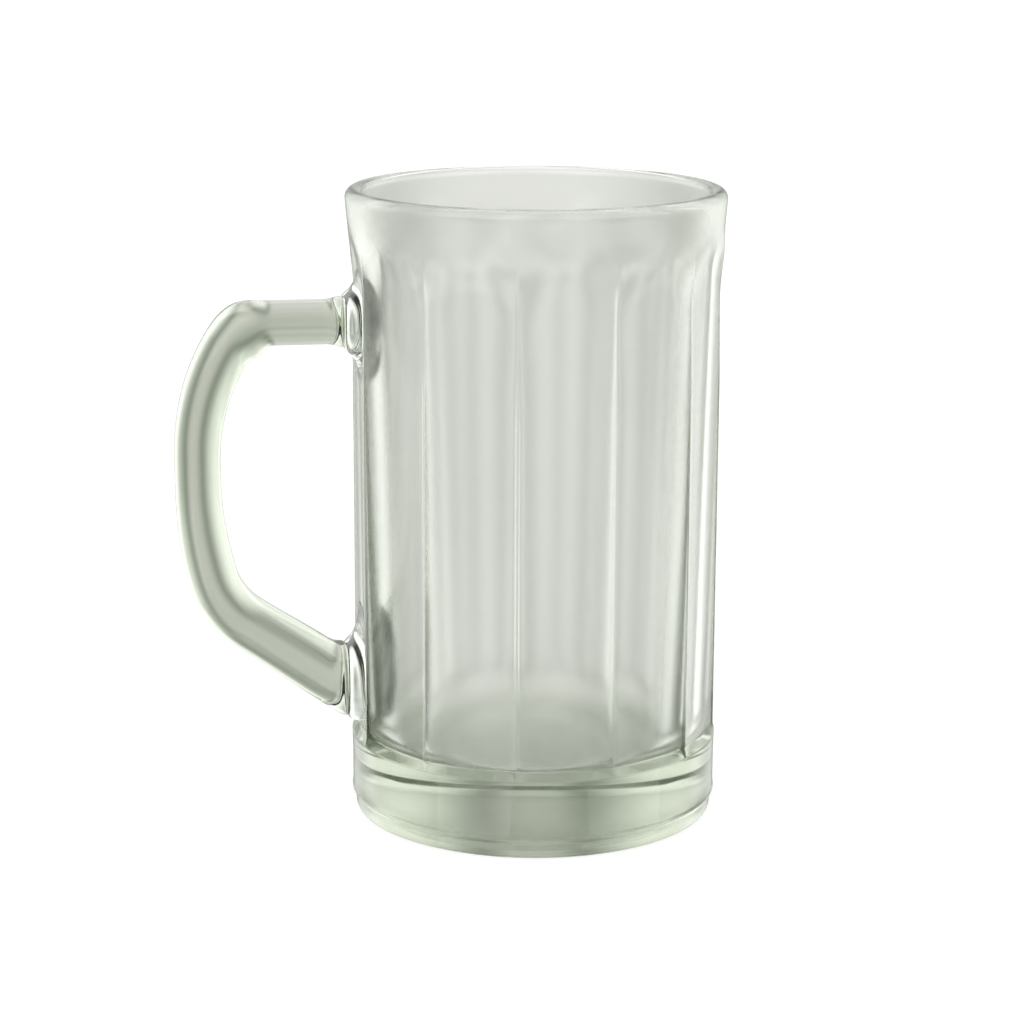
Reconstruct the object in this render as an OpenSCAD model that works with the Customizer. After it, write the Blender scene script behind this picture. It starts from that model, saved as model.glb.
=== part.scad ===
// Straight-sided beer mug of pressed clear glass, with twelve tall panels and a stuck handle.
// Millimetres, +Z up. The origin is on the mug's axis, in the plane that the mug stands on,
// and the handle points along -X.

/* [Tumbler] */
// Height from the table to the top of the lip
mug_height = 139.5; // [134:0.5:170]
// Diameter of the plain band between the panels and the lip
band_diameter = 82; // [72:0.5:96]
// Height of the plain band, from the crown of a panel to the top of the lip
band_height = 14; // [10:0.5:20]
// How far the lip swells out past the plain band
lip_swell = 0.5; // [0:0.1:2]
// Thickness of the lip, which is fully rounded
lip_thickness = 4.2; // [3:0.1:5]
// Height over which the band swells out to the lip
lip_swell_height = 8; // [4:0.5:12]
// Set-in of the heavy base band's side behind the plain band's
base_set_in = 0.3; // [0:0.1:0.6]
// Height at which the base band starts to draw in towards its foot
heel_height = 5.2; // [4:0.2:8]
// Angle from upright at which it draws in
heel_lean = 11.5; // [6:0.5:18]
// Radius of the heel, where the base band turns under
heel_radius = 1.5; // [0.8:0.1:3]

/* [Cavity] */
// Thickness of the base band's wall beside the floor of the cavity
floor_wall_thickness = 9.7; // [6:0.1:13]
// Thickness of solid glass under the cavity
bottom_thickness = 15.5; // [8:0.5:20]
// Radius of the corner between the floor and the wall
floor_corner_radius = 3; // [1:0.5:10]
// Diameter of the shallow hollow in the underside, inside the bearing ring
hollow_diameter = 60; // [40:1:70]
// Depth of that hollow at its middle
hollow_depth = 1.5; // [0.5:0.1:3]

/* [Panels] */
// Number of flat panels round the wall
panel_count = 12; // [11:1:14]
// Depth of a panel's middle behind the plain band
panel_depth = 2.1; // [1.7:0.1:2.6]
// Rise of the arch that closes a panel at the top
arch_rise = 5; // [3:0.1:8]
// Height of the lowest point of a panel
panel_foot_height = 19.2; // [17:0.2:28]
// Drop of the panel's lower edge below the ends of the ridges
foot_sag = 2.6; // [1:0.1:5]
// Slope of the step round a panel's head, as run along the wall per depth
head_slope = 1.7; // [0.8:0.1:2]
// Slope of the step at a panel's foot, as run along the wall per depth
foot_slope = 0.9; // [0.4:0.1:1.5]

/* [Handle] */
// Drop of the middle of the upper arm below the crown of the arch
upper_arm_drop = 14.5; // [13:0.5:24]
// Length of the upper arm, from the panel to the start of its bend
upper_arm_length = 18.8; // [13:0.2:26]
// Bend radius of the upper corner
upper_bend_radius = 12; // [10:0.1:15]
// Angle of the upper corner
upper_bend_angle = 60; // [54:1:66]
// Bend radius of the upper half of the grip
grip_upper_radius = 46; // [38:1:52]
// Bend radius of the lower half of the grip
grip_lower_radius = 82; // [60:1:96]
// Angle that the lower half of the grip turns back towards the wall
grip_lower_angle = 15; // [10:1:18]
// Bend radius of the lower corner
lower_bend_radius = 19.5; // [16:0.5:24]
// Angle below level at which the lower arm runs down to the wall
lower_arm_angle = 35; // [31:1:40]
// Rise of the lower arm's middle above the foot of the panel, where it meets the wall
lower_arm_rise = 7.8; // [5:0.2:10]
// Width of the bar across the handle's plane
bar_width = 15; // [11:0.5:16]
// Thickness of the upper arm
upper_arm_thickness = 9.4; // [7:0.1:11]
// Thickness of the bar across the middle of the upper corner
upper_corner_thickness = 12.4; // [9:0.1:14]
// Thickness of the bar where the upper corner meets the grip
grip_top_thickness = 10.8; // [8:0.1:13]
// Thickness of the grip at its middle
grip_thickness = 10.1; // [8:0.1:13]
// Thickness of the grip where it meets the lower corner
grip_foot_thickness = 11; // [8:0.1:13]
// Thickness of the bar where the lower corner meets the lower arm
lower_corner_thickness = 11.5; // [8:0.1:13]
// Thickness of the lower arm at the wall
lower_arm_thickness = 12.6; // [9:0.1:13]

/* [Welds] */
// Length of each fused joint, from the panel to the bar's end
weld_length = 7.5; // [4:0.5:9]
// Margin of flat panel left on each side of a fused patch
patch_margin = 0.9; // [0.4:0.1:1.5]
// Spread of the upper patch above and below the bar
upper_patch_spread = 7.5; // [3:0.5:8]
// Spread of the lower patch above the bar
lower_patch_spread = 13; // [4:0.5:16]
// Gap between the lower patch and the foot of its panel
lower_patch_gap = 2; // [0.4:0.1:3]

/* [Hidden] */
$fn = 96;

// One overrun serves every cut that has to pass clear through.
overrun = 1;

band_radius = band_diameter / 2;
rim_radius = band_radius + lip_swell;
base_radius = band_radius - base_set_in;
lip_radius = lip_thickness / 2;
mouth_radius = rim_radius - lip_thickness;
floor_radius = base_radius - floor_wall_thickness;
heel_centre = base_radius - (heel_height - heel_radius * (1 - sin(heel_lean))) * tan(heel_lean)
    - heel_radius * cos(heel_lean);
lip_centre_height = mug_height - lip_radius;
swell_start_height = mug_height - lip_swell_height;

// Distance from the axis to the flat of a panel, and half a panel's width, from middle to ridge.
panel_apothem = band_radius - panel_depth;
panel_half_width = panel_apothem * tan(180 / panel_count);
arch_crown_height = mug_height - band_height;
ridge_foot_height = panel_foot_height + foot_sag;

// Radius of an arc that has a given half chord and rise.
function arc_radius(half_chord, rise) = (half_chord * half_chord + rise * rise) / (2 * rise);
arch_radius = arc_radius(panel_half_width, arch_rise);
foot_radius = arc_radius(panel_half_width, foot_sag);
hollow_radius = arc_radius(hollow_diameter / 2, hollow_depth);
hollow_angle = asin(hollow_diameter / 2 / hollow_radius);

glass = [0.80, 0.84, 0.80, 0.6];
weld_glass = [0.70, 0.76, 0.72, 0.7];

// Points of an arc in a profile, from one angle to another.
function arc(centre_x, centre_z, radius, from, to, steps) = [
    for (i = [0 : steps]) let (a = from + (to - from) * i / steps)
        [centre_x + radius * cos(a), centre_z + radius * sin(a)]
];

hollow_steps = 6;
corner_steps = 6;
lip_steps = 12;

// Half section of the tumbler with no panels: underside, heel, wall, lip, cavity and floor.
module section() {
    polygon([
        each arc(0, hollow_depth - hollow_radius, hollow_radius, 90, 90 - hollow_angle, hollow_steps),
        each arc(heel_centre, heel_radius, heel_radius, -90, -heel_lean, corner_steps),
        [base_radius, heel_height],
        [base_radius, panel_foot_height],
        [band_radius, ridge_foot_height],
        [band_radius, swell_start_height],
        each arc(rim_radius - lip_radius, lip_centre_height, lip_radius, 0, 180, lip_steps),
        each arc(floor_radius - floor_corner_radius, bottom_thickness + floor_corner_radius,
            floor_corner_radius, 0, -90, corner_steps),
        [0, bottom_thickness]
    ]);
}

// Cones whose mouths leave the arched heads, or the sagging feet, of the panels.
module panel_cones(centre_height, radius, slope) {
    back = overrun;
    reach = rim_radius - panel_apothem + 2 * overrun;
    for (k = [0 : panel_count - 1])
        rotate([0, 0, 180 + k * 360 / panel_count])
        translate([panel_apothem - back, 0, centre_height]) rotate([0, 90, 0])
            cylinder(h = back + reach, r1 = radius - back * slope, r2 = radius + reach * slope);
}

// Everything that the panels leave standing: a prism of flats between two round collars.
module panelled_envelope() {
    ridge_radius = panel_apothem / cos(180 / panel_count);
    collar_radius = rim_radius + overrun;
    head_centre = arch_crown_height - arch_radius;
    foot_top = ridge_foot_height + foot_sag;
    translate([0, 0, -overrun]) rotate([0, 0, 180 + 180 / panel_count])
        cylinder(h = mug_height + 2 * overrun, r = ridge_radius, $fn = panel_count);
    difference() {
        translate([0, 0, head_centre])
            cylinder(h = mug_height + overrun - head_centre, r = collar_radius);
        panel_cones(head_centre, arch_radius, head_slope);
    }
    difference() {
        translate([0, 0, -overrun]) cylinder(h = foot_top + overrun, r = collar_radius);
        panel_cones(panel_foot_height + foot_radius, foot_radius, foot_slope);
    }
}

// Pressed tumbler: lip, panelled wall and heavy bottom are one gather of glass.
module body() {
    color(glass)
    intersection() {
        rotate_extrude() section();
        panelled_envelope();
    }
}

// The bar's middle line lies in the XZ plane. Here x runs outwards from the axis.
// Each bend is an arc that starts where the last one ends.
function bend_end(start, radius, from, to) =
    start + radius * [sin(to) - sin(from), cos(to) - cos(from)];

upper_arm_height = arch_crown_height - upper_arm_drop;
grip_low_heading = 90 + grip_lower_angle;
lower_heading = 180 - lower_arm_angle;
weld_end_x = panel_apothem + weld_length;

// Height of the lower arm's middle line, at a distance from the axis.
function lower_arm_height(x) =
    panel_foot_height + lower_arm_rise + (x - panel_apothem) * tan(lower_arm_angle);

// The grip's two arcs are joined by whatever straight the mug's height leaves between them.
upper_end = [weld_end_x, upper_arm_height];
bend_a = [panel_apothem + upper_arm_length, upper_arm_height];
corner_middle = bend_end(bend_a, upper_bend_radius, 0, upper_bend_angle / 2);
bend_b = bend_end(bend_a, upper_bend_radius, 0, upper_bend_angle);
bend_c = bend_end(bend_b, grip_upper_radius, upper_bend_angle, 90);
unshifted_end = bend_end(bend_end(bend_c, grip_lower_radius, 90, grip_low_heading),
    lower_bend_radius, grip_low_heading, lower_heading);
grip_straight = unshifted_end[1] - lower_arm_height(unshifted_end[0]);
bend_d = bend_c - [0, grip_straight];
bend_e = bend_end(bend_d, grip_lower_radius, 90, grip_low_heading);
bend_f = bend_end(bend_e, lower_bend_radius, grip_low_heading, lower_heading);
lower_end = [weld_end_x, lower_arm_height(weld_end_x)];

// Stations along an arm or a bend, as x, z, heading, the section's turn away from square, and
// the bar's thickness. The turn and the thickness run evenly from their first value to their last.
function between(ends, share) = ends[0] + (ends[1] - ends[0]) * share;
function arm_stations(from, to, heading, turns, thicks, steps) = [
    for (i = [1 : steps])
        [each between([from, to], i / steps), heading, between(turns, i / steps), between(thicks, i / steps)]
];
function bend_stations(start, radius, headings, thicks, steps) = [
    for (i = [1 : steps]) let (a = between(headings, i / steps))
        [each bend_end(start, radius, headings[0], a), a, 0, between(thicks, i / steps)]
];

corner_half_steps = 4;
grip_steps = 5;
bend_steps = 7;
arm_steps = 4;

// Along the lower arm the section turns until it lies parallel to the panel.
bar_line = [
    [each upper_end, 0, 0, upper_arm_thickness],
    each arm_stations(upper_end, bend_a, 0, [0, 0], [upper_arm_thickness, upper_arm_thickness], arm_steps),
    each bend_stations(bend_a, upper_bend_radius, [0, upper_bend_angle / 2],
        [upper_arm_thickness, upper_corner_thickness], corner_half_steps),
    each bend_stations(corner_middle, upper_bend_radius, [upper_bend_angle / 2, upper_bend_angle],
        [upper_corner_thickness, grip_top_thickness], corner_half_steps),
    each bend_stations(bend_b, grip_upper_radius, [upper_bend_angle, 90],
        [grip_top_thickness, grip_thickness], grip_steps),
    [each bend_d, 90, 0, grip_thickness],
    each bend_stations(bend_d, grip_lower_radius, [90, grip_low_heading],
        [grip_thickness, grip_foot_thickness], grip_steps),
    each bend_stations(bend_e, lower_bend_radius, [grip_low_heading, lower_heading],
        [grip_foot_thickness, lower_corner_thickness], bend_steps),
    each arm_stations(bend_f, lower_end, lower_heading, [0, lower_arm_angle],
        [lower_corner_thickness, lower_arm_thickness], arm_steps)
];

// The section is a rounded oblong, a superellipse with this exponent.
oblong_power = 2.6;
section_sides = 20;
function rounded(v) = sign(v) * pow(abs(v), 2 / oblong_power);
function oblong(half_high, half_wide) = [
    for (i = [0 : section_sides - 1]) let (a = 360 * (i + 0.5) / section_sides)
        [half_high * rounded(cos(a)), half_wide * rounded(sin(a))]
];

// One ring of the bar at a station, with its face across the middle line or turned from it.
function bar_ring(station) = let (lean = station[2] + station[3], grow = 1 / cos(station[3])) [
    for (q = oblong(station[4] / 2 * grow, bar_width / 2))
        [-(station[0] + q[0] * sin(lean)), q[1], station[1] + q[0] * cos(lean)]
];

// Closed skin over a list of rings that all have the same number of points.
module skin(rings) {
    sides = len(rings[0]);
    last = len(rings) - 1;
    polyhedron(
        points = [for (r = rings) each r],
        faces = [
            [for (j = [0 : sides - 1]) j],
            [for (j = [sides - 1 : -1 : 0]) last * sides + j],
            for (i = [0 : last - 1]) for (j = [0 : sides - 1]) let (n = (j + 1) % sides)
                [i * sides + n, i * sides + j, (i + 1) * sides + j, (i + 1) * sides + n]
        ]
    );
}

// Solid glass bar, pressed apart from the tumbler and stuck on while hot.
module handle() {
    color(glass)
    skin([for (station = bar_line) bar_ring(station)]);
}

// Fused joint: the hot glass at the bar's end spreads in a hollow curve to a patch on the panel.
// Each pair of heights is the top and the bottom, first where the bar's line meets the panel
// and then of the patch. The slope is that of the bar's middle line.
weld_steps = 7;
patch_width = 2 * (panel_half_width - patch_margin);
module fused_joint(bar_heights, patch_heights, slope) {
    skin([
        for (i = [0 : weld_steps]) let (
            turn = 90 * i / weld_steps,
            x = weld_end_x - weld_length * sin(turn),
            flare = 1 - cos(turn),
            rise = [1, 1] * (x - panel_apothem) * slope,
            edges = bar_heights + rise + (patch_heights - bar_heights) * flare,
            wide = bar_width + (patch_width - bar_width) * flare
        )
        [for (q = oblong((edges[0] - edges[1]) / 2, wide / 2)) [-x, -q[1], (edges[0] + edges[1]) / 2 + q[0]]]
    ]);
}

module upper_weld() {
    half = upper_arm_thickness / 2;
    bar_heights = [upper_arm_height + half, upper_arm_height - half];
    color(weld_glass)
    fused_joint(bar_heights, bar_heights + upper_patch_spread * [1, -1], 0);
}

module lower_weld() {
    half = lower_arm_thickness / 2 / cos(lower_arm_angle);
    middle = lower_arm_height(panel_apothem);
    bar_heights = [middle + half, middle - half];
    patch_heights = [middle + half + lower_patch_spread, panel_foot_height + lower_patch_gap];
    color(weld_glass)
    fused_joint(bar_heights, patch_heights, tan(lower_arm_angle));
}

body();
handle();
upper_weld();
lower_weld();
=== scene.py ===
import math

import bmesh
import bpy
from mathutils import Matrix, Vector


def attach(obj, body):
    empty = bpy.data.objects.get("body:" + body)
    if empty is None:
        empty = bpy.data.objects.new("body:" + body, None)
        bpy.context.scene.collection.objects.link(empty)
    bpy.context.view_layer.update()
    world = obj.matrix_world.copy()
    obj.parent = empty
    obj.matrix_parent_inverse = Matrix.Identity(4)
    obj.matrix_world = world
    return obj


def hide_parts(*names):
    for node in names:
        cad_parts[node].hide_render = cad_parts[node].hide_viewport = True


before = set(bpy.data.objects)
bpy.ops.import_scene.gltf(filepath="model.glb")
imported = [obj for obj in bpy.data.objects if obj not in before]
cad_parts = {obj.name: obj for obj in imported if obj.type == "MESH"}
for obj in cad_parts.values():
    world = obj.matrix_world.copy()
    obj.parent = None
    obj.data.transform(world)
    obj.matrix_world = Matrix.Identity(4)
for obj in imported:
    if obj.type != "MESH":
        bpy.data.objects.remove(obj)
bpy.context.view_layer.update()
scene = bpy.context.scene

# Tumbler
# The real tumbler is one gather of soda-lime glass, pressed in a mould whose wall carries twelve
# flats. A plunger shapes the cavity, and a flame then rounds the lip and glosses the outside.
MM = 0.001
MUG_HEIGHT = 139.5 * MM
BAND_RADIUS = 41 * MM
RIM_RADIUS = 41.48 * MM
BASE_RADIUS = 40.7 * MM
LIP_RADIUS = 2.1 * MM
LIP_SWELL_HEIGHT = 8 * MM
HEEL_HEIGHT = 4.7 * MM
HEEL_RADIUS = 1.5 * MM
HEEL_LEAN = 11.5
BEAD_RADIUS = 0.9 * MM
BEAD_RISE = 0.15 * MM
BEAD_INSET = 0.51 * MM
BEAD_FADE = 0.66 * MM
FLOOR_RADIUS = 31 * MM
FLOOR_HEIGHT = 15.5 * MM
FLOOR_CORNER_RADIUS = 5 * MM
HOLLOW_RADIUS = 30 * MM
HOLLOW_DEPTH = 1.5 * MM
PANELS = 12
APOTHEM = 38.9 * MM
CROWN_HEIGHT = 125.5 * MM
ARCH_RISE = 5 * MM
FOOT_HEIGHT = 19.2 * MM
FOOT_SAG = 0.5 * MM
BEVEL_FOOT = 17.6 * MM
HEAD_SLOPE = 1.7
HEAD_SOFTNESS = 3.6 * MM
RIDGE_SOFTNESS = 0.4 * MM
RIB_HEIGHT = 0.26 * MM
RIB_BREADTH = 0.58 * MM
MELT_LOW = 95 * MM
MELT_HIGH = 117 * MM
RIDGE_MELT = 0.5 * MM
FOOT_MARGIN_BELOW = 6 * MM
FOOT_MARGIN_ABOVE = 4 * MM
HEAD_MARGIN_BELOW = 15 * MM
HEAD_MARGIN_ABOVE = 3 * MM
PANEL_HALF_WIDTH = APOTHEM * math.tan(math.pi / PANELS)


def arc(centre_r, centre_z, radius, start, stop, steps):
    """Points of an arc in the profile, from one angle in degrees to another."""
    angles = [math.radians(start + (stop - start) * i / steps) for i in range(steps + 1)]
    return [(centre_r + radius * math.cos(a), centre_z + radius * math.sin(a)) for a in angles]


def straight(start, stop, spacing):
    """Points along a straight stretch of the profile, without its last point."""
    steps = max(1, math.ceil(math.dist(start, stop) / spacing))
    return [tuple(a + (b - a) * i / steps for a, b in zip(start, stop)) for i in range(steps)]


def arc_radius(half_chord, rise):
    return (half_chord ** 2 + rise ** 2) / (2 * rise)


def turned(name, profile, angles):
    """Closed mesh of a profile turned about the Z axis. Its first and last points lie on the axis."""
    mesh = bmesh.new()
    rings = [[mesh.verts.new((r * math.cos(a), r * math.sin(a), z)) for a in angles]
             for r, z in profile[1:-1]]
    count = len(angles)
    for low, high in zip(rings, rings[1:]):
        for j in range(count):
            n = (j + 1) % count
            mesh.faces.new((low[j], low[n], high[n], high[j]))
    for (r, z), ring, order in ((profile[0], rings[0], 1), (profile[-1], rings[-1], -1)):
        pole = mesh.verts.new((r, 0, z))
        for j in range(count):
            mesh.faces.new((ring[(j + 1) % count], ring[j], pole)[::order])
    data = bpy.data.meshes.new(name)
    mesh.to_mesh(data)
    mesh.free()
    piece = bpy.data.objects.new(name, data)
    scene.collection.objects.link(piece)
    return piece


hollow_curve = arc_radius(HOLLOW_RADIUS, HOLLOW_DEPTH)
hollow_turn = math.degrees(math.asin(HOLLOW_RADIUS / hollow_curve))
mouth_radius = RIM_RADIUS - 2 * LIP_RADIUS
lip_height = MUG_HEIGHT - LIP_RADIUS
swell_height = MUG_HEIGHT - LIP_SWELL_HEIGHT
lean = math.radians(HEEL_LEAN)
heel_start = (BASE_RADIUS - (HEEL_HEIGHT - HEEL_RADIUS * (1 - math.sin(lean))) * math.tan(lean)
              - HEEL_RADIUS * math.cos(lean))
foot_zone = (FOOT_HEIGHT - FOOT_MARGIN_BELOW, FOOT_HEIGHT + FOOT_MARGIN_ABOVE)
head_zone = (CROWN_HEIGHT - HEAD_MARGIN_BELOW, CROWN_HEIGHT + HEAD_MARGIN_ABOVE)
floor_corner = (FLOOR_RADIUS - FLOOR_CORNER_RADIUS, FLOOR_HEIGHT + FLOOR_CORNER_RADIUS)

# On the straight stretches the points stand closest together where the panels' feet and heads will
# be pressed.
COARSE = 3 * MM
LIP_SPACING = 1 * MM
RING_SPACING = 0.8 * MM
HEEL_SPACING = 0.6 * MM
HEAD_SPACING = 0.45 * MM
FOOT_SPACING = 0.25 * MM
blank_profile = (
    arc(0, HOLLOW_DEPTH - hollow_curve, hollow_curve, 90, 90 - hollow_turn, 12)
    + straight((HOLLOW_RADIUS, 0), (heel_start, 0), RING_SPACING)[1:]
    + arc(heel_start, HEEL_RADIUS, HEEL_RADIUS, -90, -HEEL_LEAN, 8)
    + straight((heel_start + HEEL_RADIUS * math.cos(lean), HEEL_RADIUS * (1 - math.sin(lean))),
               (BASE_RADIUS - BEAD_INSET, HEEL_HEIGHT - BEAD_RADIUS), HEEL_SPACING)[1:]
    + arc(BASE_RADIUS - (BEAD_RADIUS - BEAD_RISE), HEEL_HEIGHT, BEAD_RADIUS, -75, 32, 12)
    + straight((BASE_RADIUS, HEEL_HEIGHT + BEAD_FADE), (BASE_RADIUS, foot_zone[0]), COARSE)
    + straight((BASE_RADIUS, foot_zone[0]), (BAND_RADIUS, foot_zone[1]), FOOT_SPACING)
    + straight((BAND_RADIUS, foot_zone[1]), (BAND_RADIUS, head_zone[0]), COARSE)
    + straight((BAND_RADIUS, head_zone[0]), (BAND_RADIUS, head_zone[1]), HEAD_SPACING)
    + straight((BAND_RADIUS, head_zone[1]), (BAND_RADIUS, swell_height), COARSE)
    + straight((BAND_RADIUS, swell_height), (RIM_RADIUS, lip_height), LIP_SPACING)
    + arc(RIM_RADIUS - LIP_RADIUS, lip_height, LIP_RADIUS, 0, 180, 16)
    + straight((mouth_radius, lip_height), (FLOOR_RADIUS, floor_corner[1]), COARSE)[1:]
    + arc(*floor_corner, FLOOR_CORNER_RADIUS, 0, -90, 10)
    + straight((floor_corner[0], FLOOR_HEIGHT), (0, FLOOR_HEIGHT), COARSE)[1:]
    + [(0, FLOOR_HEIGHT)]
)

# The columns stand closer together near the ridges than on the flats.
COLUMNS = 32
CROWDING = math.radians(72)
column_turns = []
for k in range(PANELS):
    for j in range(COLUMNS):
        share = math.sin((2 * j / COLUMNS - 1) * CROWDING) / math.sin(CROWDING)
        column_turns.append((k + share / 2) * 2 * math.pi / PANELS)
body = turned("tumbler", blank_profile, column_turns)


def add(tree, kind, feeds=None, **settings):
    """Adds a node with its settings, and feeds its inputs with values, sockets or earlier nodes."""
    node = tree.nodes.new(kind)
    for name, value in settings.items():
        setattr(node, name, value)
    for key, feed in (feeds or {}).items():
        feed = feed.outputs[0] if isinstance(feed, bpy.types.Node) else feed
        if isinstance(feed, bpy.types.NodeSocket):
            tree.links.new(feed, node.inputs[key])
        else:
            node.inputs[key].default_value = feed
    return node


# The mould's flats are pressed into the turned blank: each point moves in to the nearest panel,
# whose plane rises as a sloped step outside the arch at its head. The step melts softly into the
# band, while the ridges lower down stay crisp.
press = bpy.data.node_groups.new("press_panels", "GeometryNodeTree")
press.interface.new_socket("Blank", in_out="INPUT", socket_type="NodeSocketGeometry")
press.interface.new_socket("Tumbler", in_out="OUTPUT", socket_type="NodeSocketGeometry")
panel_sizes = {
    "Panel count": PANELS,
    "Apothem": APOTHEM,
    "Head radius": arc_radius(PANEL_HALF_WIDTH, ARCH_RISE),
    "Head centre": CROWN_HEIGHT - arc_radius(PANEL_HALF_WIDTH, ARCH_RISE),
    "Foot height": FOOT_HEIGHT,
    "Foot sag": FOOT_SAG,
    "Bevel foot": BEVEL_FOOT,
    "Head slope": HEAD_SLOPE,
    "Head softness": HEAD_SOFTNESS,
    "Ridge softness": RIDGE_SOFTNESS,
    "Rib height": RIB_HEIGHT,
    "Rib breadth": RIB_BREADTH,
    "Melt low": MELT_LOW,
    "Melt high": MELT_HIGH,
    "Ridge melt": RIDGE_MELT,
}
for size_name in panel_sizes:
    press.interface.new_socket(size_name, in_out="INPUT", socket_type="NodeSocketFloat")
press.interface.new_socket("Glass", in_out="INPUT", socket_type="NodeSocketMaterial")

given = add(press, "NodeGroupInput").outputs
place = add(press, "ShaderNodeSeparateXYZ", {0: add(press, "GeometryNodeInputPosition")})
MATH = "ShaderNodeMath"
radius = add(press, MATH, {
    0: add(press, MATH, {
        0: add(press, MATH, {0: place.outputs["X"], 1: 2.0}, operation="POWER"),
        1: add(press, MATH, {0: place.outputs["Y"], 1: 2.0}, operation="POWER")}, operation="ADD"),
    1: 0.5}, operation="POWER")
turn = add(press, MATH, {0: place.outputs["Y"], 1: place.outputs["X"]}, operation="ARCTAN2")
pitch = add(press, MATH, {0: math.tau, 1: given["Panel count"]}, operation="DIVIDE")
half_pitch = add(press, MATH, {0: pitch, 1: 0.5}, operation="MULTIPLY")
nearest = add(press, MATH, {
    0: add(press, MATH, {
        0: turn, 1: half_pitch,
        2: add(press, MATH, {0: half_pitch, 1: -1.0}, operation="MULTIPLY")}, operation="WRAP")},
    operation="ABSOLUTE")
neighbour = add(press, MATH, {0: pitch, 1: nearest}, operation="SUBTRACT")

faces = []
for away in (nearest, neighbour):
    across = add(press, MATH, {
        0: add(press, MATH, {0: away}, operation="TANGENT"), 1: given["Apothem"]}, operation="MULTIPLY")
    past = add(press, MATH, {
        0: add(press, MATH, {0: place.outputs["Z"], 1: given["Head centre"]}, operation="SUBTRACT"),
        1: 0.0}, operation="MAXIMUM")
    reach = add(press, MATH, {
        0: add(press, MATH, {
            0: add(press, MATH, {0: past, 1: 2.0}, operation="POWER"),
            1: add(press, MATH, {0: across, 1: 2.0}, operation="POWER")}, operation="ADD"),
        1: 0.5}, operation="POWER")
    outside = add(press, MATH, {0: reach, 1: given["Head radius"]}, operation="SUBTRACT")
    rise = add(press, MATH, {
        0: add(press, MATH, {0: outside, 1: given["Head slope"]}, operation="DIVIDE"),
        1: 0.0, 2: given["Head softness"]}, operation="SMOOTH_MAX")
    outward = add(press, MATH, {0: rise, 1: given["Apothem"]}, operation="ADD")
    faces.append(add(press, MATH, {
        0: outward, 1: add(press, MATH, {0: away}, operation="COSINE")}, operation="DIVIDE"))
# A ridge is a fillet of even curvature between two panels, with a fine rib along it, which is
# guessed from the crisp lines that the photograph shows there.
apart = add(press, MATH, {
    0: add(press, MATH, {0: faces[0], 1: faces[1]}, operation="SUBTRACT")}, operation="ABSOLUTE")
near_ridge = add(press, MATH, {
    0: add(press, MATH, {
        0: add(press, MATH, {0: given["Ridge softness"], 1: apart}, operation="SUBTRACT"),
        1: 0.0}, operation="MAXIMUM"),
    1: 2.0}, operation="POWER")
worn = add(press, MATH, {
    0: near_ridge,
    1: add(press, MATH, {0: given["Ridge softness"], 1: 4.0}, operation="MULTIPLY")}, operation="DIVIDE")
panelled = add(press, MATH, {
    0: add(press, MATH, {0: faces[0], 1: faces[1]}, operation="MINIMUM"), 1: worn}, operation="SUBTRACT")
off_ridge = add(press, MATH, {0: apart, 1: given["Rib breadth"]}, operation="DIVIDE")
on_rib = add(press, MATH, {
    0: add(press, MATH, {0: 1.0, 1: off_ridge}, operation="SUBTRACT"), 1: 0.0}, operation="MAXIMUM")
ribbed = add(press, MATH, {
    0: add(press, MATH, {0: on_rib, 1: 2.0}, operation="POWER"),
    1: given["Rib height"], 2: panelled}, operation="MULTIPLY_ADD")
melt = add(press, "ShaderNodeMapRange", {
    "Value": place.outputs["Z"], "From Min": given["Melt low"], "From Max": given["Melt high"],
    "To Min": given["Ridge melt"], "To Max": given["Head softness"]})
flat = add(press, MATH, {0: radius, 1: ribbed, 2: melt}, operation="SMOOTH_MIN")
# At its foot each panel runs into a bevel, which ends in a level edge round the base band.
aside = add(press, MATH, {
    0: add(press, MATH, {0: nearest, 1: half_pitch}, operation="DIVIDE"), 1: 2.0}, operation="POWER")
bevel_top = add(press, MATH, {0: aside, 1: given["Foot sag"], 2: given["Foot height"]},
                operation="MULTIPLY_ADD")
bevel = add(press, "ShaderNodeMapRange", {
    "Value": place.outputs["Z"], "From Min": given["Bevel foot"], "From Max": bevel_top})
pressed = add(press, "ShaderNodeMix", {"Factor": bevel, "A": radius, "B": flat})
shrink = add(press, MATH, {
    0: pressed,
    1: add(press, MATH, {0: radius, 1: 1e-6}, operation="MAXIMUM")}, operation="DIVIDE")
scale = add(press, "ShaderNodeCombineXYZ", {"X": shrink, "Y": shrink, "Z": 1.0})
moved = add(press, "GeometryNodeSetPosition", {
    "Geometry": given["Blank"],
    "Position": add(press, "ShaderNodeVectorMath", {
        0: add(press, "GeometryNodeInputPosition"), 1: scale}, operation="MULTIPLY")})
smooth = add(press, "GeometryNodeSetShadeSmooth", {"Geometry": moved, "Shade Smooth": True})
real = add(press, "GeometryNodeRealizeInstances", {"Geometry": smooth})
dressed = add(press, "GeometryNodeSetMaterial", {"Geometry": real, "Material": given["Glass"]})
add(press, "NodeGroupOutput", {0: dressed})


def linear(code):
    """Linear colour, with alpha 1, of an sRGB hex code."""
    shares = [int(code[i:i + 2], 16) / 255 for i in (1, 3, 5)]
    return [s / 12.92 if s <= 0.04045 else ((s + 0.055) / 1.055) ** 2.4 for s in shares] + [1.0]


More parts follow.
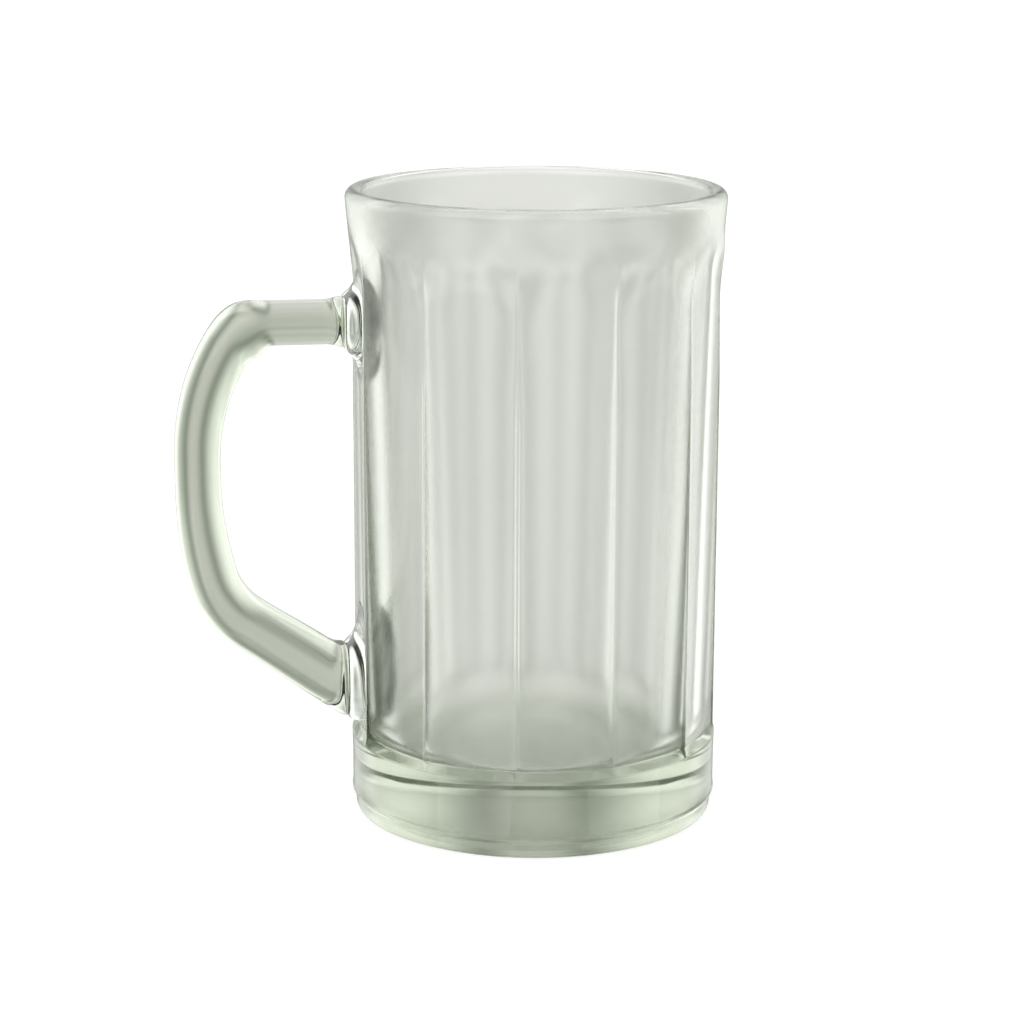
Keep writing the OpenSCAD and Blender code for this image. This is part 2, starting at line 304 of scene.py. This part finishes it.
# Soda-lime glass, pressed and fire-polished: it is clear across the wall and turns grey-green
# where the eye looks along it, as in the base. The flame glossed the outside, so its edges look
# crisp. The inside is set rougher than a real one, so that the far wall blurs as it does in the
# photograph, and the bearing ring is scuffed by tables.
GLASS_IOR = 1.52
GLASS_DENSITY = 36.0
GLASS_ROUGHNESS = 0.05
INNER_ROUGHNESS = 0.27
SCUFFED_ROUGHNESS = 0.1
INNER_SKIN_RADIUS = 37.6 * MM
OUTER_SKIN_RADIUS = 38.3 * MM
SCUFFS_LOW = 0.25 * MM
SCUFFS_HIGH = 0.6 * MM
tumbler_glass = bpy.data.materials.new("pressed_soda_lime_glass")
tumbler_glass.use_nodes = True
tree = tumbler_glass.node_tree
tree.nodes.clear()
spot = add(tree, "ShaderNodeSeparateXYZ", {0: add(tree, "ShaderNodeTexCoord").outputs["Object"]})
across = add(tree, "ShaderNodeVectorMath", {
    0: add(tree, "ShaderNodeCombineXYZ", {0: spot.outputs["X"], 1: spot.outputs["Y"]})},
    operation="LENGTH")
sides = add(tree, "ShaderNodeMapRange", {
    "Value": across.outputs["Value"], "From Min": INNER_SKIN_RADIUS, "From Max": OUTER_SKIN_RADIUS,
    "To Min": INNER_ROUGHNESS, "To Max": GLASS_ROUGHNESS})
scuffs = add(tree, "ShaderNodeMapRange", {
    "Value": spot.outputs["Z"], "From Min": SCUFFS_LOW, "From Max": SCUFFS_HIGH,
    "To Min": SCUFFED_ROUGHNESS, "To Max": sides})
surface = add(tree, "ShaderNodeBsdfPrincipled", {
    "Base Color": (1, 1, 1, 1), "Roughness": scuffs, "IOR": GLASS_IOR, "Transmission Weight": 1.0})
inside = add(tree, "ShaderNodeVolumeAbsorption", {"Color": linear("#dfe3da"), "Density": GLASS_DENSITY})
add(tree, "ShaderNodeOutputMaterial", {"Surface": surface, "Volume": inside})


def run_tree(piece, tree, values):
    """Runs a geometry tree on a piece with named inputs, and keeps the result as a plain mesh."""
    modifier = piece.modifiers.new(tree.name, "NODES")
    modifier.node_group = tree
    for item in tree.interface.items_tree:
        if item.in_out == "INPUT" and item.name in values:
            modifier[item.identifier] = values[item.name]
    bpy.context.view_layer.update()
    result = piece.evaluated_get(bpy.context.evaluated_depsgraph_get())
    data = bpy.data.meshes.new_from_object(result)
    piece.modifiers.clear()
    piece.data = data


run_tree(body, press, {**{n: float(v) for n, v in panel_sizes.items()}, "Glass": tumbler_glass})
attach(body, "root")
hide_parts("body")

# Handle
# The real handle is a solid bar of the same glass, pressed on its own, bent while soft and stuck to
# the hot tumbler, so that its ends spread over the panel in flares with a waist.
UPPER_ARM_HEIGHT = 111 * MM
UPPER_ARM_REACH = 57.7 * MM
UPPER_BEND_RADIUS = 12 * MM
UPPER_BEND_TURN = 60
GRIP_UPPER_RADIUS = 46 * MM
GRIP_LOWER_RADIUS = 82 * MM
GRIP_LOWER_TURN = 15
LOWER_BEND_RADIUS = 19.5 * MM
LOWER_ARM_TURN = 35
LOWER_ARM_RISE = 7.8 * MM
UPPER_ARM_THICKNESS = 9.4 * MM
CORNER_THICKNESS = 12.4 * MM
UPPER_GRIP_THICKNESS = 10.8 * MM
GRIP_THICKNESS = 10.1 * MM
LOWER_GRIP_THICKNESS = 11 * MM
LOWER_BEND_THICKNESS = 11.5 * MM
LOWER_ARM_THICKNESS = 12.6 * MM
BAR_WIDTH = 15 * MM
WELD_LENGTH = 7.5 * MM
PATCH_MARGIN = 0.9 * MM
PATCH_WIDTH = 2 * (PANEL_HALF_WIDTH - PATCH_MARGIN)
UPPER_PATCH_ABOVE = 6.5 * MM
UPPER_PATCH_BELOW = 8.5 * MM
LOWER_PATCH_ABOVE = 13 * MM
LOWER_PATCH_GAP = 2 * MM
OBLONG_POWER = 2.6
THICKNESS_TRIM = 0.992
SECTION_SIDES = 48
CONTACT_GAP = 0.02 * MM
WELD_STEPS = 28
JOINT_STEP = 18
NECK_DEPTH = 0.5 * MM
NECK_LENGTH = 1.1 * MM
weld_end = APOTHEM + WELD_LENGTH
joint_turn = math.radians(90 * (1 - JOINT_STEP / WELD_STEPS))
joint = weld_end - (WELD_LENGTH - CONTACT_GAP) * math.sin(joint_turn)


def bend_end(start, radius, turn_from, turn_to):
    """Where a bend of the middle line ends, from the turns in degrees that it starts and ends with."""
    a, b = math.radians(turn_from), math.radians(turn_to)
    x, z = start
    return (x + radius * (math.sin(b) - math.sin(a)), z + radius * (math.cos(b) - math.cos(a)))


def lower_arm_height(x):
    return FOOT_HEIGHT + LOWER_ARM_RISE + (x - APOTHEM) * math.tan(math.radians(LOWER_ARM_TURN))


grip_low_turn = 90 + GRIP_LOWER_TURN
lower_turn = 180 - LOWER_ARM_TURN
bend_a = (UPPER_ARM_REACH, UPPER_ARM_HEIGHT)
corner_middle = bend_end(bend_a, UPPER_BEND_RADIUS, 0, UPPER_BEND_TURN / 2)
bend_b = bend_end(bend_a, UPPER_BEND_RADIUS, 0, UPPER_BEND_TURN)
bend_c = bend_end(bend_b, GRIP_UPPER_RADIUS, UPPER_BEND_TURN, 90)
unshifted = bend_end(bend_end(bend_c, GRIP_LOWER_RADIUS, 90, grip_low_turn),
                     LOWER_BEND_RADIUS, grip_low_turn, lower_turn)
bend_d = (bend_c[0], bend_c[1] - (unshifted[1] - lower_arm_height(unshifted[0])))
bend_e = bend_end(bend_d, GRIP_LOWER_RADIUS, 90, grip_low_turn)
bend_f = bend_end(bend_e, LOWER_BEND_RADIUS, grip_low_turn, lower_turn)


def ease(share):
    return share * share * (3 - 2 * share)


def oblong(x, z, half_high, half_wide, lean):
    """Ring of the bar's rounded oblong section about a point of its middle line."""
    ring = []
    for i in range(SECTION_SIDES):
        a = math.tau * (i + 0.5) / SECTION_SIDES
        c, s = math.cos(a), math.sin(a)
        up = THICKNESS_TRIM * half_high * math.copysign(abs(c) ** (2 / OBLONG_POWER), c)
        side = half_wide * math.copysign(abs(s) ** (2 / OBLONG_POWER), s)
        ring.append((-(x + up * math.sin(lean)), side, z + up * math.cos(lean)))
    return ring


def flare(middle, half, patch_top, patch_bottom, slope, lean):
    """Rings from a weld's patch on the panel out to the straight bar, along a quarter ellipse."""
    result = []
    for i in range(WELD_STEPS + 1):
        turn = math.radians(90 * (1 - i / WELD_STEPS))
        x = weld_end - (WELD_LENGTH - CONTACT_GAP) * math.sin(turn)
        spread = 1 - math.cos(turn)
        rise = (x - APOTHEM) * slope
        neck = NECK_DEPTH * max(0, 1 - abs(x - joint) / NECK_LENGTH) ** 2
        top = middle + half + rise + (patch_top - middle - half) * spread - neck
        bottom = middle - half + rise + (patch_bottom - middle + half) * spread + neck
        wide = BAR_WIDTH + (PATCH_WIDTH - BAR_WIDTH) * spread - 2 * neck
        result.append(oblong(x, (top + bottom) / 2, (top - bottom) / 2, wide / 2, lean))
    return result


def loft(name, rings, material):
    """Closed mesh over rings of equal length, with flat ends."""
    mesh = bmesh.new()
    verts = [[mesh.verts.new(p) for p in ring] for ring in rings]
    for low, high in zip(verts, verts[1:]):
        for j in range(SECTION_SIDES):
            n = (j + 1) % SECTION_SIDES
            mesh.faces.new((low[n], low[j], high[j], high[n])).smooth = True
    for ring, order in ((verts[0], 1), (verts[-1], -1)):
        middle = mesh.verts.new([sum(v.co[i] for v in ring) / len(ring) for i in range(3)])
        for j in range(SECTION_SIDES):
            mesh.faces.new((ring[j], ring[(j + 1) % SECTION_SIDES], middle)[::order])
    bmesh.ops.recalc_face_normals(mesh, faces=mesh.faces[:])
    data = bpy.data.meshes.new(name)
    mesh.to_mesh(data)
    mesh.free()
    data.materials.append(material)
    piece = bpy.data.objects.new(name, data)
    scene.collection.objects.link(piece)
    return piece


upper_half = UPPER_ARM_THICKNESS / 2
upper_flare = flare(
    UPPER_ARM_HEIGHT, upper_half, UPPER_ARM_HEIGHT + upper_half + UPPER_PATCH_ABOVE,
    UPPER_ARM_HEIGHT - upper_half - UPPER_PATCH_BELOW, 0, 0)
lower_half = LOWER_ARM_THICKNESS / 2 / math.cos(math.radians(LOWER_ARM_TURN))
lower_middle = lower_arm_height(APOTHEM)
lower_flare = flare(
    lower_middle, lower_half, lower_middle + lower_half + LOWER_PATCH_ABOVE,
    FOOT_HEIGHT + LOWER_PATCH_GAP, math.tan(math.radians(LOWER_ARM_TURN)), math.pi)
bar_end = weld_end + CONTACT_GAP

# Each stretch of the bar's middle line: kind, start, end or radius, turns from and to in degrees,
# thicknesses from and to, leans of the section from and to in degrees, and steps.
stretches = [
    ("line", (bar_end, UPPER_ARM_HEIGHT), bend_a, 0, 0,
     UPPER_ARM_THICKNESS, UPPER_ARM_THICKNESS, 0, 0, 24),
    ("bend", bend_a, UPPER_BEND_RADIUS, 0, UPPER_BEND_TURN / 2,
     UPPER_ARM_THICKNESS, CORNER_THICKNESS, 0, 0, 8),
    ("bend", corner_middle, UPPER_BEND_RADIUS, UPPER_BEND_TURN / 2, UPPER_BEND_TURN,
     CORNER_THICKNESS, UPPER_GRIP_THICKNESS, 0, 0, 8),
    ("bend", bend_b, GRIP_UPPER_RADIUS, UPPER_BEND_TURN, 90,
     UPPER_GRIP_THICKNESS, GRIP_THICKNESS, 0, 0, 16),
    ("line", bend_c, bend_d, 90, 90, GRIP_THICKNESS, GRIP_THICKNESS, 0, 0, 4),
    ("bend", bend_d, GRIP_LOWER_RADIUS, 90, grip_low_turn,
     GRIP_THICKNESS, LOWER_GRIP_THICKNESS, 0, 0, 16),
    ("bend", bend_e, LOWER_BEND_RADIUS, grip_low_turn, lower_turn,
     LOWER_GRIP_THICKNESS, LOWER_BEND_THICKNESS, 0, 0, 16),
    ("line", bend_f, (bar_end, lower_arm_height(bar_end)), lower_turn, lower_turn,
     LOWER_BEND_THICKNESS, LOWER_ARM_THICKNESS, 0, LOWER_ARM_TURN, 40),
]
rings = [[(x - CONTACT_GAP, y, z) for x, y, z in ring] for ring in upper_flare[JOINT_STEP:-1]]
for number, stretch in enumerate(stretches):
    kind, start, shape, turn_from, turn_to, thick_from, thick_to, lean_from, lean_to, steps = stretch
    for i in range(min(number, 1), steps + 1):
        share = i / steps
        heading = turn_from + (turn_to - turn_from) * share
        if kind == "bend":
            x, z = bend_end(start, shape, turn_from, heading)
        else:
            x, z = (a + (b - a) * share for a, b in zip(start, shape))
        lean = lean_from + (lean_to - lean_from) * share
        thick = (thick_from + (thick_to - thick_from) * ease(share)) / math.cos(math.radians(lean))
        rings.append(oblong(x, z, thick / 2, BAR_WIDTH / 2, math.radians(heading + lean)))
for ring in reversed(lower_flare[JOINT_STEP:-1]):
    rings.append([(x - CONTACT_GAP, y, z) for x, y, z in ring])

# The real bar is of the tumbler's glass. Its density is set higher, so that it looks as grey-green as
# in the photograph.
BAR_DENSITY = 132.0
handle_glass = tumbler_glass.copy()
handle_glass.name = "bent_soda_lime_bar"
handle_glass.node_tree.nodes["Volume Absorption"].inputs["Density"].default_value = BAR_DENSITY
handle = loft("handle_bar", rings, handle_glass)
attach(handle, "root")
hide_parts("handle")

# Welds
# Where the hot bar was stuck on, its glass spread over the panel in a flare with a waist, and a
# narrow neck runs round the joint, which the eye sees as a white and a black ring.
weld_glass = tumbler_glass.copy()
weld_glass.name = "fused_soda_lime_weld"
upper_weld = loft("upper_weld_flare", upper_flare[:JOINT_STEP + 1], weld_glass)
lower_weld = loft("lower_weld_flare", lower_flare[:JOINT_STEP + 1], weld_glass)
for weld, node_name in ((upper_weld, "upper_weld"), (lower_weld, "lower_weld")):
    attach(weld, "root")
    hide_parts(node_name)

# Studio
# A pale sheet with a slight sheen carries the mug. It lies a film of air below the bearing ring, as
# under a real mug, which rests on a few points only, so the base doesn't look glued to the sheet.
# Most of its white is a glow for the camera alone, so that it throws little light on the mug.
SHEET_RADIUS = 6.0
AIR_FILM = 0.05 * MM
PAPER_GREY = 0.3
PAPER_GLOW = 0.8
SHEEN_STRENGTH = 0.97
SHEEN_ROUGHNESS = 0.12
mesh = bmesh.new()
bmesh.ops.create_circle(mesh, cap_ends=True, segments=96, radius=SHEET_RADIUS,
                        matrix=Matrix.Translation((0, 0, -AIR_FILM)))
data = bpy.data.meshes.new("pale_sheet")
mesh.to_mesh(data)
mesh.free()
sheet = bpy.data.objects.new("pale_sheet", data)
scene.collection.objects.link(sheet)
paper = bpy.data.materials.new("glazed_paper")
paper.use_nodes = True
tree = paper.node_tree
tree.nodes.clear()
seen = add(tree, "ShaderNodeLightPath")
shown = add(tree, MATH, {
    0: seen.outputs["Is Glossy Ray"], 1: seen.outputs["Is Transmission Ray"]}, operation="MAXIMUM")
diffuse = add(tree, "ShaderNodeBsdfDiffuse", {"Color": (PAPER_GREY, PAPER_GREY, PAPER_GREY, 1)})
to_camera = add(tree, MATH, {0: seen.outputs["Is Camera Ray"], 1: PAPER_GLOW}, operation="MULTIPLY")
glow = add(tree, "ShaderNodeEmission", {"Color": (1, 1, 1, 1), "Strength": to_camera})
matt = add(tree, "ShaderNodeAddShader", {0: diffuse, 1: glow})
sheen = add(tree, "ShaderNodeBsdfGlossy", {
    "Color": (SHEEN_STRENGTH, SHEEN_STRENGTH, SHEEN_STRENGTH, 1), "Roughness": SHEEN_ROUGHNESS})
both = add(tree, "ShaderNodeMixShader", {0: shown, 1: matt, 2: sheen})
add(tree, "ShaderNodeOutputMaterial", {"Surface": both})
data.materials.append(paper)

# The room's light is set by bearing from the view's middle, in degrees, and by the rise of the
# direction. It is palest 25 to 55 degrees to either side, and darker about 11 degrees out and past
# 60 degrees, which draws the glass's edges. Its stops were set by trial against the photograph. The
# camera itself sees plain white.
MIDDLE_BEARING = 9.5
ROOM_LEVEL = 1.76
world = bpy.data.worlds.new("studio")
scene.world = world
world.use_nodes = True
tree = world.node_tree
tree.nodes.clear()
seen = add(tree, "ShaderNodeLightPath")
way = add(tree, "ShaderNodeSeparateXYZ", {0: add(tree, "ShaderNodeTexCoord").outputs["Generated"]})
bearing = add(tree, MATH, {
    0: add(tree, MATH, {0: way.outputs["X"], 1: way.outputs["Y"]}, operation="ARCTAN2"),
    1: math.radians(MIDDLE_BEARING)}, operation="SUBTRACT")
aside = add(tree, MATH, {
    0: add(tree, MATH, {0: bearing, 1: math.pi, 2: -math.pi}, operation="WRAP")}, operation="ABSOLUTE")
walls = add(tree, "ShaderNodeValToRGB", {0: add(tree, MATH, {0: aside, 1: math.pi}, operation="DIVIDE")})
walls.color_ramp.interpolation = "B_SPLINE"
for element in walls.color_ramp.elements[1:]:
    walls.color_ramp.elements.remove(element)
ROOM_LIGHT = (
    (0, "#c4c3c1"), (5, "#c0c0be"), (8, "#9ea19c"), (11, "#848882"), (14, "#989c96"),
    (19, "#c7c9c5"), (26, "#eeefec"), (34, "#fcfdfa"), (48, "#fffffc"), (56, "#f0f0ed"),
    (62, "#b8bdb6"), (72, "#8a8e88"), (95, "#878b85"), (125, "#b3b5b1"), (180, "#c7c8c5"))
for degrees, code in ROOM_LIGHT:
    element = walls.color_ramp.elements.new(degrees / 180)
    element.color = linear(code)
walls.color_ramp.elements.remove(walls.color_ramp.elements[0])
heights = add(tree, "ShaderNodeValToRGB", {
    0: add(tree, MATH, {0: way.outputs["Z"]}, operation="ABSOLUTE")})
heights.color_ramp.interpolation = "B_SPLINE"
HEIGHT_LIGHT = (
    (0.00, "#dee1dc"), (0.05, "#edeeec"), (0.10, "#f8faf7"), (0.15, "#e8ebe6"), (0.20, "#eff0ee"),
    (0.26, "#f8f8f7"), (0.34, "#fdfdfd"), (0.44, "#ffffff"), (0.62, "#efefee"), (0.72, "#d1d1cf"),
    (1.00, "#c8c8c6"))
for rise, code in HEIGHT_LIGHT:
    element = heights.color_ramp.elements.new(rise)
    element.color = linear(code)
heights.color_ramp.elements.remove(heights.color_ramp.elements[0])
heights.color_ramp.elements.remove(heights.color_ramp.elements[-1])
lit = add(tree, "ShaderNodeVectorMath", {
    0: add(tree, "ShaderNodeVectorMath", {0: walls, 1: heights}, operation="MULTIPLY"),
    "Scale": ROOM_LEVEL}, operation="SCALE")
light = add(tree, "ShaderNodeMixRGB", {
    "Fac": seen.outputs["Is Camera Ray"], "Color1": lit, "Color2": (1, 1, 1, 1)})
room = add(tree, "ShaderNodeBackground", {"Color": light, "Strength": 1.0})
add(tree, "ShaderNodeOutputWorld", {"Surface": room})


def softbox(name, place, aim, size, power):
    """Area lamp at a place, turned to its aim."""
    lamp = bpy.data.lights.new(name, "AREA")
    lamp.shape = "RECTANGLE"
    lamp.size, lamp.size_y = size
    lamp.energy = power
    stand = bpy.data.objects.new(name, lamp)
    direction = Vector(place) - Vector(aim)
    stand.matrix_world = Matrix.LocRotScale(place, direction.to_track_quat("Z", "Y"), None)
    stand.visible_camera = False
    scene.collection.objects.link(stand)


softbox("overhead", (0, 0.2, 1.6), (0, 0, 0), (3.4, 3.4), 11)
softbox("front_left", (-1.1, -1.0, 1.1), (0, 0, 0.08), (1.6, 1.6), 8)
softbox("front_right", (1.1, -0.9, 1.0), (0, 0, 0.08), (1.6, 1.6), 6)

# Camera
# It stands where the photograph was taken from, as worked out from the mug's outline.
PHOTO_SIDE = 1024
FOCAL_PIXELS = 2838.3
CAMERA_PLACE = (-0.10658, -0.60445, 0.21338)
CAMERA_PAN = math.atan2(0.16115, 0.95929)
CAMERA_DIP = math.asin(0.23195)
CAMERA_ROLL = 0.00399
lens = bpy.data.cameras.new("camera")
lens.sensor_width = 36
lens.lens = FOCAL_PIXELS / PHOTO_SIDE * lens.sensor_width
camera = bpy.data.objects.new("camera", lens)
camera.matrix_world = (
    Matrix.Translation(CAMERA_PLACE)
    @ Matrix.Rotation(-CAMERA_PAN, 4, "Z")
    @ Matrix.Rotation(math.pi / 2 - CAMERA_DIP, 4, "X")
    @ Matrix.Rotation(CAMERA_ROLL, 4, "Z")
)
scene.collection.objects.link(camera)
scene.camera = camera
scene.view_settings.view_transform = "Standard"
scene.cycles.max_bounces = 24
scene.cycles.transmission_bounces = 24
scene.cycles.glossy_bounces = 12
scene.cycles.transparent_max_bounces = 24
